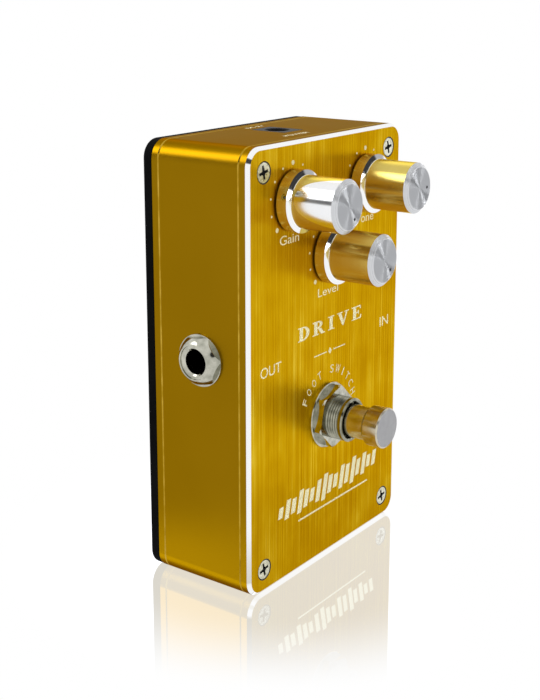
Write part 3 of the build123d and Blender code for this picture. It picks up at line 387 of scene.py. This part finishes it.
for name, centre in KNOBS.items():
    flank = (centre, math.radians(165)) if name == "gain" else None
    gold = make_knob_gold(f"{name}_knob_gold", flank)
    spun = make_spun(f"{name}_spun_face", centre, (0.38, 0.39, 0.41), (0.54, 0.55, 0.57), 0.39)
    spun_rim = make_spun(f"{name}_spun_rim", centre, (0.56, 0.57, 0.59), (0.72, 0.73, 0.75), 0.28)
    step_low = FACE_Y - 4.25 * MM
    step_high = FACE_Y - 3.55 * MM
    rim_top = KNOB_LOW.y + 1.15 * MM

    def knob_face(normal, face_centre):
        """0 the gold turning, 1 the bare step, 2 the rim, which is turned with the cap."""
        if normal.y > -FACING:
            return 0
        if face_centre.y < rim_top:
            return 2
        return 1 if step_low < face_centre.y < step_high else 0

    paint_faces(f"{name}_knob", [gold, bare_turned, spun_rim], knob_face)
    dot_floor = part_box(f"{name}_knob_cap")[0].y + 0.05 * MM
    dot_reach = 5.0 * MM

    def cap_face(normal, face_centre):
        """0 the spun face, 1 the sunk pointer dot."""
        reach = math.hypot(face_centre.x - centre.x, face_centre.z - centre.z)
        return 1 if face_centre.y > dot_floor and reach < dot_reach and normal.y < 0.5 else 0

    paint_faces(f"{name}_knob_cap", [spun, recess_shade_dot_black], cap_face)
    paint(f"{name}_knob_set_screw", nickel)
    paint(f"{name}_pot_body", steel)
    paint(f"{name}_pot_shaft", tin)

for name in ("output_jack_sleeve", "input_jack_sleeve", "output_jack_nut", "input_jack_nut", "footswitch_nut",
             "footswitch_washer", "footswitch_inner_nut", "pot_nuts", "pot_washers"):
    paint(name, nickel)
paint("footswitch_bushing", threads)

# The edges of the nuts and the washer are broken slightly, so that they catch the light.
for name in ("footswitch_nut", "footswitch_washer", "footswitch_inner_nut", "output_jack_nut", "input_jack_nut"):
    edge = nodes[name].modifiers.new("edge_break", "BEVEL")
    edge.width = 0.12 * MM
    edge.segments = 2
    edge.limit_method = "ANGLE"
    edge.angle_limit = math.radians(40)
    edge.harden_normals = True


def plunger_face(normal, centre):
    """0 the bright turned sides, 1 the worn satin end."""
    return 1 if normal.y < -FLAT and centre.y < FACE_Y - 10 * MM else 0


paint_faces("footswitch_plunger", [chrome, satin_end], plunger_face)

# A steel copy of the return spring, held by the case, stands in for the hidden CAD spring.
return_spring = bpy.data.objects.new("return_spring", nodes["footswitch_spring"].data.copy())
bpy.context.scene.collection.objects.link(return_spring)
return_spring.data.materials.clear()
return_spring.data.materials.append(steel)
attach(return_spring, "case")
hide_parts("footswitch_spring")
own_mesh(return_spring)

for name in ("footswitch_lugs", "output_jack_contacts", "input_jack_contacts", "power_socket_pin",
             "power_socket_contacts"):
    paint(name, tin)
for name in ("footswitch_body", "output_jack_box", "input_jack_box", "power_socket_body", "amplifier_chips"):
    paint(name, black_plastic)
for name in ("switch_board", "main_board"):
    paint(name, board_green)
paint("electrolytic_capacitors", sleeve_blue)
paint("film_capacitors", film_red)
paint("resistors", resistor_blue)
paint("status_led", lens_blue)
for name in ("ribbon_cable", "jack_wires", "power_wires"):
    paint(name, cable_grey)

# ---- Printed marks ---------------------------------------------------------------------------------------------

INK_THICK = 0.02 * MM
PLATE_TURN = Matrix(((1, 0, 0), (0, 0, -1), (0, 1, 0))).to_4x4()    # local x, y, z to plate right, up, outward


def on_plate(x, z):
    return Matrix.Translation((x, FACE_Y, z)) @ PLATE_TURN


def finish_mark(name, mesh, place):
    mesh.transform(place)
    mesh.materials.clear()
    mesh.materials.append(ink)
    mark = bpy.data.objects.new(name, mesh)
    bpy.context.scene.collection.objects.link(mark)
    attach(mark, "case")
    return mark


def lettering(name, text, width, height, place):
    """Raised ink lettering, width by height, centred on the place."""
    curve = bpy.data.curves.new(name, "FONT")
    curve.body = text
    holder = bpy.data.objects.new(name + "_curve", curve)
    bpy.context.scene.collection.objects.link(holder)
    bpy.context.view_layer.update()
    graph = bpy.context.evaluated_depsgraph_get()
    mesh = bpy.data.meshes.new_from_object(holder.evaluated_get(graph))
    bpy.data.objects.remove(holder)
    xs = [v.co.x for v in mesh.vertices]
    ys = [v.co.y for v in mesh.vertices]
    scale = Matrix.Diagonal((width / (max(xs) - min(xs)), height / (max(ys) - min(ys)), 1, 1))
    centre = Matrix.Translation((-(max(xs) + min(xs)) / 2, -(max(ys) + min(ys)) / 2, 0))
    mesh.transform(scale @ centre)
    thicken(mesh)
    return finish_mark(name, mesh, place)


def thicken(mesh):
    """Turns flat faces at z 0 into an ink film standing on z 0."""
    film = bmesh.new()
    film.from_mesh(mesh)
    bmesh.ops.remove_doubles(film, verts=film.verts, dist=1e-7)
    for face in film.faces:
        if face.normal.z < 0:
            face.normal_flip()
    made = bmesh.ops.extrude_face_region(film, geom=list(film.faces))
    for item in made["geom"]:
        if isinstance(item, bmesh.types.BMVert):
            item.co.z += INK_THICK
    bmesh.ops.recalc_face_normals(film, faces=film.faces)
    film.to_mesh(mesh)
    film.free()


def shapes(name, outlines, place):
    """Raised ink shapes from lists of (x, y) corner points."""
    film = bmesh.new()
    for outline in outlines:
        film.faces.new([film.verts.new((x, y, 0)) for x, y in outline])
    mesh = bpy.data.meshes.new(name)
    film.to_mesh(mesh)
    film.free()
    thicken(mesh)
    return finish_mark(name, mesh, place)


def disc(x, y, radius, corners=24):
    turns = [2 * math.pi * i / corners for i in range(corners)]
    return [(x + radius * math.cos(t), y + radius * math.sin(t)) for t in turns]


def box_outline(left, low, right, high, lean=0.0):
    """An upright rectangle, or one whose top is pushed lean to the right of its foot."""
    return [(left, low), (right, low), (right + lean, high), (left + lean, high)]


lettering("label_gain", "Gain", 8.4 * MM, 2.4 * MM, on_plate(-18.6 * MM, 93.2 * MM))
lettering("label_tone", "Tone", 9.2 * MM, 2.4 * MM, on_plate(17.3 * MM, 93.2 * MM))
lettering("label_level", "Level", 9.7 * MM, 2.3 * MM, on_plate(-0.6 * MM, 76.1 * MM))
lettering("label_out", "OUT", 8.9 * MM, 2.8 * MM, on_plate(-26.6 * MM, 60.3 * MM))
lettering("label_in", "IN", 4.6 * MM, 2.8 * MM, on_plate(28.8 * MM, 61.0 * MM))

TITLE_HEIGHT = 3.8 * MM
TITLE_STRETCH = 1.6
TITLE_GAP = 1.55 * MM
STEM = [(0, 0), (0.36, 0), (0.36, 1), (0, 1), (0, 0.92), (0.12, 0.92), (0.12, 0.08), (0, 0.08)]


def bowl(left, low, high, reach, side, bar):
    """The round of a letter: half an ellipse standing on the stem, side thick at the side and bar at its ends."""
    turns = [math.pi * (i / 16 - 0.5) for i in range(17)]
    middle_y = (low + high) / 2
    tall = (high - low) / 2
    rim = [(left + reach * math.cos(t), middle_y + tall * math.sin(t)) for t in turns]
    hollow = reach - side
    inside = [(left + hollow * math.cos(t), middle_y + (tall - bar) * math.sin(t)) for t in reversed(turns)]
    return rim + inside


SERIF_LETTERS = {
    "D": (0.86, [STEM, bowl(0.36, 0, 1, 0.50, 0.24, 0.09)]),
    "R": (0.96, [[(0, 0), (0.48, 0), (0.48, 0.08), (0.36, 0.08), (0.36, 1), (0, 1), (0, 0.92), (0.12, 0.92),
                  (0.12, 0.08), (0, 0.08)],
                 bowl(0.36, 0.46, 1, 0.40, 0.22, 0.08),
                 [(0.40, 0.458), (0.66, 0), (0.96, 0), (0.96, 0.08), (0.87, 0.08), (0.63, 0.458)]]),
    "I": (0.48, [[(0, 0), (0.48, 0), (0.48, 0.08), (0.36, 0.08), (0.36, 0.92), (0.48, 0.92), (0.48, 1), (0, 1),
                  (0, 0.92), (0.12, 0.92), (0.12, 0.08), (0, 0.08)]]),
    "V": (0.96, [[(0.42, 0), (0.54, 0), (0.84, 0.92), (0.96, 0.92), (0.96, 1), (0.60, 1), (0.60, 0.92),
                  (0.73, 0.92), (0.54, 0.27), (0.33, 0.92), (0.44, 0.92), (0.44, 1), (0, 1), (0, 0.92),
                  (0.09, 0.92)]]),
    "E": (0.82, [[(0, 0), (0.78, 0), (0.82, 0.28), (0.75, 0.28), (0.68, 0.09), (0.36, 0.09), (0.36, 0.46),
                  (0.50, 0.46), (0.55, 0.36), (0.60, 0.36), (0.60, 0.66), (0.55, 0.66), (0.50, 0.55),
                  (0.36, 0.55), (0.36, 0.91), (0.64, 0.91), (0.71, 0.74), (0.77, 0.74), (0.75, 1), (0, 1),
                  (0, 0.92), (0.12, 0.92), (0.12, 0.08), (0, 0.08)]]),
}


def title(text, place):
    outlines = []
    left = 0.0
    for letter in text:
        width, parts = SERIF_LETTERS[letter]
        for part in parts:
            outlines.append([(left + x * TITLE_HEIGHT * TITLE_STRETCH, y * TITLE_HEIGHT) for x, y in part])
        left += width * TITLE_HEIGHT * TITLE_STRETCH + TITLE_GAP
    shapes("title", outlines, place)


title("DRIVE", on_plate(-14.6 * MM, 64.7 * MM))

# A thin rule with a lozenge below the title.
RULE_INNER = 1.6 * MM
RULE_OUTER = 7.6 * MM
RULE_HALF_THICK = 0.15 * MM
LOZENGE_REACH = 0.9 * MM
rule = [
    box_outline(-RULE_OUTER, -RULE_HALF_THICK, -RULE_INNER, RULE_HALF_THICK),
    box_outline(RULE_INNER, -RULE_HALF_THICK, RULE_OUTER, RULE_HALF_THICK),
]
lozenge = [(0, -LOZENGE_REACH), (LOZENGE_REACH, 0), (0, LOZENGE_REACH), (-LOZENGE_REACH, 0)]
shapes("title_rule", rule + [lozenge], on_plate(0.6 * MM, 58.9 * MM))

# Lettering bent round the footswitch.
BENT_TEXT = "FOOT SWITCH"
BENT_RADIUS = 12.8 * MM
BENT_START = 150
BENT_STEP = 13.5
LETTER_WIDTHS = {"I": 0.45, "W": 2.2}
for i, letter in enumerate(BENT_TEXT):
    if letter != " ":
        turn = Matrix.Rotation(math.radians(BENT_START - BENT_STEP * i - 90), 4, "Z")
        spot = on_plate(SWITCH.x, SWITCH.z) @ turn @ Matrix.Translation((0, BENT_RADIUS, 0))
        lettering(f"label_switch_{i}", letter, LETTER_WIDTHS.get(letter, 1.6) * MM, 2.3 * MM, spot)

# A sound wave of leaning bars, rising to the right, over a thin rule.
BAR_HEIGHTS = (3.0, 5.2, 4.0, 6.4, 4.8, 3.6, 6.0, 7.4, 5.0, 3.8, 6.6, 5.4, 7.6, 4.6, 6.2, 3.4, 4.4)
wave = []
for i, height in enumerate(BAR_HEIGHTS):
    left = -23.4 + 2.9 * i
    foot = 19.6 + 0.05 * i - height / 2
    wave.append(box_outline(left * MM, foot * MM, (left + 1.9) * MM, (foot + height) * MM, 0.22 * height * MM))
wave.append(box_outline(-14 * MM, 14.2 * MM, 21 * MM, 14.7 * MM))
shapes("wave_graphic", wave, on_plate(0, 0))

# Supply marks either side of the power socket.
TOP_TURN = Matrix.Translation((0, 0, TOP_Z))
lettering("label_volts", "DC 9V", 7.5 * MM, 1.5 * MM, TOP_TURN @ Matrix.Translation((1.2 * MM, 10.3 * MM, 0)))
lettering("label_power", "POWER", 10.5 * MM, 1.6 * MM, TOP_TURN @ Matrix.Translation((-5.0 * MM, -7.9 * MM, 0)))

# Eleven dots round each knob, larger at the ends and the middle of its scale.
SCALE_RADIUS = 9.6 * MM
LARGE_DOT = 0.62 * MM
SMALL_DOT = 0.32 * MM
for name, centre in KNOBS.items():
    dots = []
    for i in range(11):
        turn = math.radians(225 - 27 * i)
        radius = LARGE_DOT if i in (0, 5, 10) else SMALL_DOT
        dots.append(disc(SCALE_RADIUS * math.cos(turn), SCALE_RADIUS * math.sin(turn), radius))
    shapes(f"scale_{name}", dots, on_plate(centre.x, centre.z))

# ---- Floor, light and camera -----------------------------------------------------------------------------------

# The studio round the object: direction, inner and outer half angle of the field, and its brightness.
LIGHT_FIELDS = (
    ((0.45, -0.88, 0.15), 30, 40, 0.04),        # dim room in front, for contrast in the metal
    ((0.90, -0.40, 0.12), 14, 20, 0.45),
    ((-0.44, -0.78, 0.45), 8, 14, 0.05),        # and where the photographer stands
    ((0.63, -0.76, 0.18), 4, 7, 12.0),          # three strip lights in front, which fan out in the spun faces
    ((0.10, -0.99, 0.09), 4, 9, 5.0),
    ((0.95, -0.31, 0.10), 3, 6, 6.0),
    ((-0.50, 0.63, 0.59), 9, 20, 6.5),          # softbox behind on the left, along the rounded upper edge
    ((0.60, 0.58, 0.55), 8, 16, 2.0),           # softbox behind on the right, along the tops of the knobs
    ((-0.96, 0.10, 0.26), 8, 12, 0.04),         # a low dark curtain on the left
    ((-0.86, 0.44, 0.27), 8, 12, 0.04),
    ((-0.62, 0.74, 0.24), 6, 10, 0.04),
)


def make_floor():
    """A white sheet whose gloss mirrors the foot of the case faintly."""
    film = bmesh.new()
    half = 3.0      # metres
    corners = ((-half, -half), (half, -half), (half, half), (-half, half))
    film.faces.new([film.verts.new((x, y, 0)) for x, y in corners])
    mesh = bpy.data.meshes.new("floor")
    film.to_mesh(mesh)
    film.free()
    floor = bpy.data.objects.new("floor", mesh)
    bpy.context.scene.collection.objects.link(floor)
    floor.location.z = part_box("housing")[0].z - 0.05 * MM
    material = bpy.data.materials.new("floor_white")
    material.use_nodes = True
    tree = material.node_tree
    tree.nodes.clear()
    # The sheet is glossy round the case and matt further out. What the gloss takes from the white glow it gives
    # back as a mirror, a little more in blue than in red.
    mirror_share = Vector((0.29, 0.32, 0.39))
    glossy_reach = 0.045
    matt_from = 0.08
    place = tree.nodes.new("ShaderNodeTexCoord")
    away = tree.nodes.new("ShaderNodeVectorMath")
    away.operation = "LENGTH"
    fade = tree.nodes.new("ShaderNodeMapRange")
    fade.interpolation_type = "SMOOTHSTEP"
    fade.inputs["From Min"].default_value = glossy_reach
    fade.inputs["From Max"].default_value = matt_from
    matt = tree.nodes.new("ShaderNodeEmission")
    matt.inputs["Color"].default_value = rgb(1, 1, 1)
    glow = tree.nodes.new("ShaderNodeEmission")
    glow.inputs["Color"].default_value = rgb(*(Vector((1, 1, 1)) - mirror_share))
    mirror = tree.nodes.new("ShaderNodeBsdfGlossy")
    mirror.inputs["Color"].default_value = rgb(*mirror_share)
    mirror.inputs["Roughness"].default_value = 0.02
    glossy = tree.nodes.new("ShaderNodeAddShader")
    both = tree.nodes.new("ShaderNodeMixShader")
    out = tree.nodes.new("ShaderNodeOutputMaterial")
    tree.links.new(place.outputs["Object"], away.inputs[0])
    tree.links.new(away.outputs["Value"], fade.inputs["Value"])
    tree.links.new(glow.outputs[0], glossy.inputs[0])
    tree.links.new(mirror.outputs[0], glossy.inputs[1])
    tree.links.new(fade.outputs[0], both.inputs[0])
    tree.links.new(glossy.outputs[0], both.inputs[1])
    tree.links.new(matt.outputs[0], both.inputs[2])
    tree.links.new(both.outputs[0], out.inputs["Surface"])
    mesh.materials.append(material)


def make_world():
    """White to the camera; to the object a white studio with bright and dark fields."""
    world = bpy.data.worlds.new("studio")
    bpy.context.scene.world = world
    world.use_nodes = True
    tree = world.node_tree
    tree.nodes.clear()

    def add(kind, values=None, **settings):
        node = tree.nodes.new("ShaderNode" + kind)
        for key, value in settings.items():
            setattr(node, key, value)
        for key, value in (values or {}).items():
            if isinstance(value, bpy.types.NodeSocket):
                tree.links.new(value, node.inputs[key])
            else:
                node.inputs[key].default_value = value
        return node

    direction = add("TexCoord").outputs["Generated"]

    def field(level, toward, inner, outer, value):
        """Fades level to value inside a cone of the given half angles, in degrees."""
        toward = Vector(toward).normalized()
        near = add("VectorMath", {0: direction, 1: toward}, operation="DOT_PRODUCT").outputs["Value"]
        limits = {0: near, 1: math.cos(math.radians(outer)), 2: math.cos(math.radians(inner))}
        share = add("MapRange", limits, interpolation_type="SMOOTHSTEP").outputs[0]
        return add("MapRange", {0: share, 3: level, 4: value}).outputs[0]

    level = 1.0
    for toward, inner, outer, value in LIGHT_FIELDS:
        level = field(level, toward, inner, outer, value)
    studio = add("Background", {"Color": rgb(1, 1, 1), "Strength": level})
    backdrop = add("Background", {"Color": rgb(1, 1, 1), "Strength": 1.0})
    seen = add("LightPath").outputs["Is Camera Ray"]
    shown = add("MixShader", {0: seen, 1: studio.outputs[0], 2: backdrop.outputs[0]})
    out = add("OutputWorld")
    tree.links.new(shown.outputs[0], out.inputs["Surface"])


def make_camera():
    lens = bpy.data.cameras.new("camera")
    lens.sensor_width = 36
    lens.lens = 63.65
    lens.shift_y = -0.15
    lens.clip_start = 0.01
    lens.clip_end = 20
    camera = bpy.data.objects.new("camera", lens)
    bpy.context.scene.collection.objects.link(camera)
    # Place, lens and turn, in metres and radians, from a fit of the case's edges to the photograph.
    camera.location = (-0.26991, -0.19334, 0.15798)
    yaw = 0.9388
    pitch = 0.2124
    forward = Vector((math.sin(yaw) * math.cos(pitch), math.cos(yaw) * math.cos(pitch), -math.sin(pitch)))
    camera.rotation_mode = "QUATERNION"
    camera.rotation_quaternion = forward.to_track_quat("-Z", "Y")
    bpy.context.scene.camera = camera


make_floor()
make_world()
make_camera()
bpy.context.scene.view_settings.view_transform = "Standard"
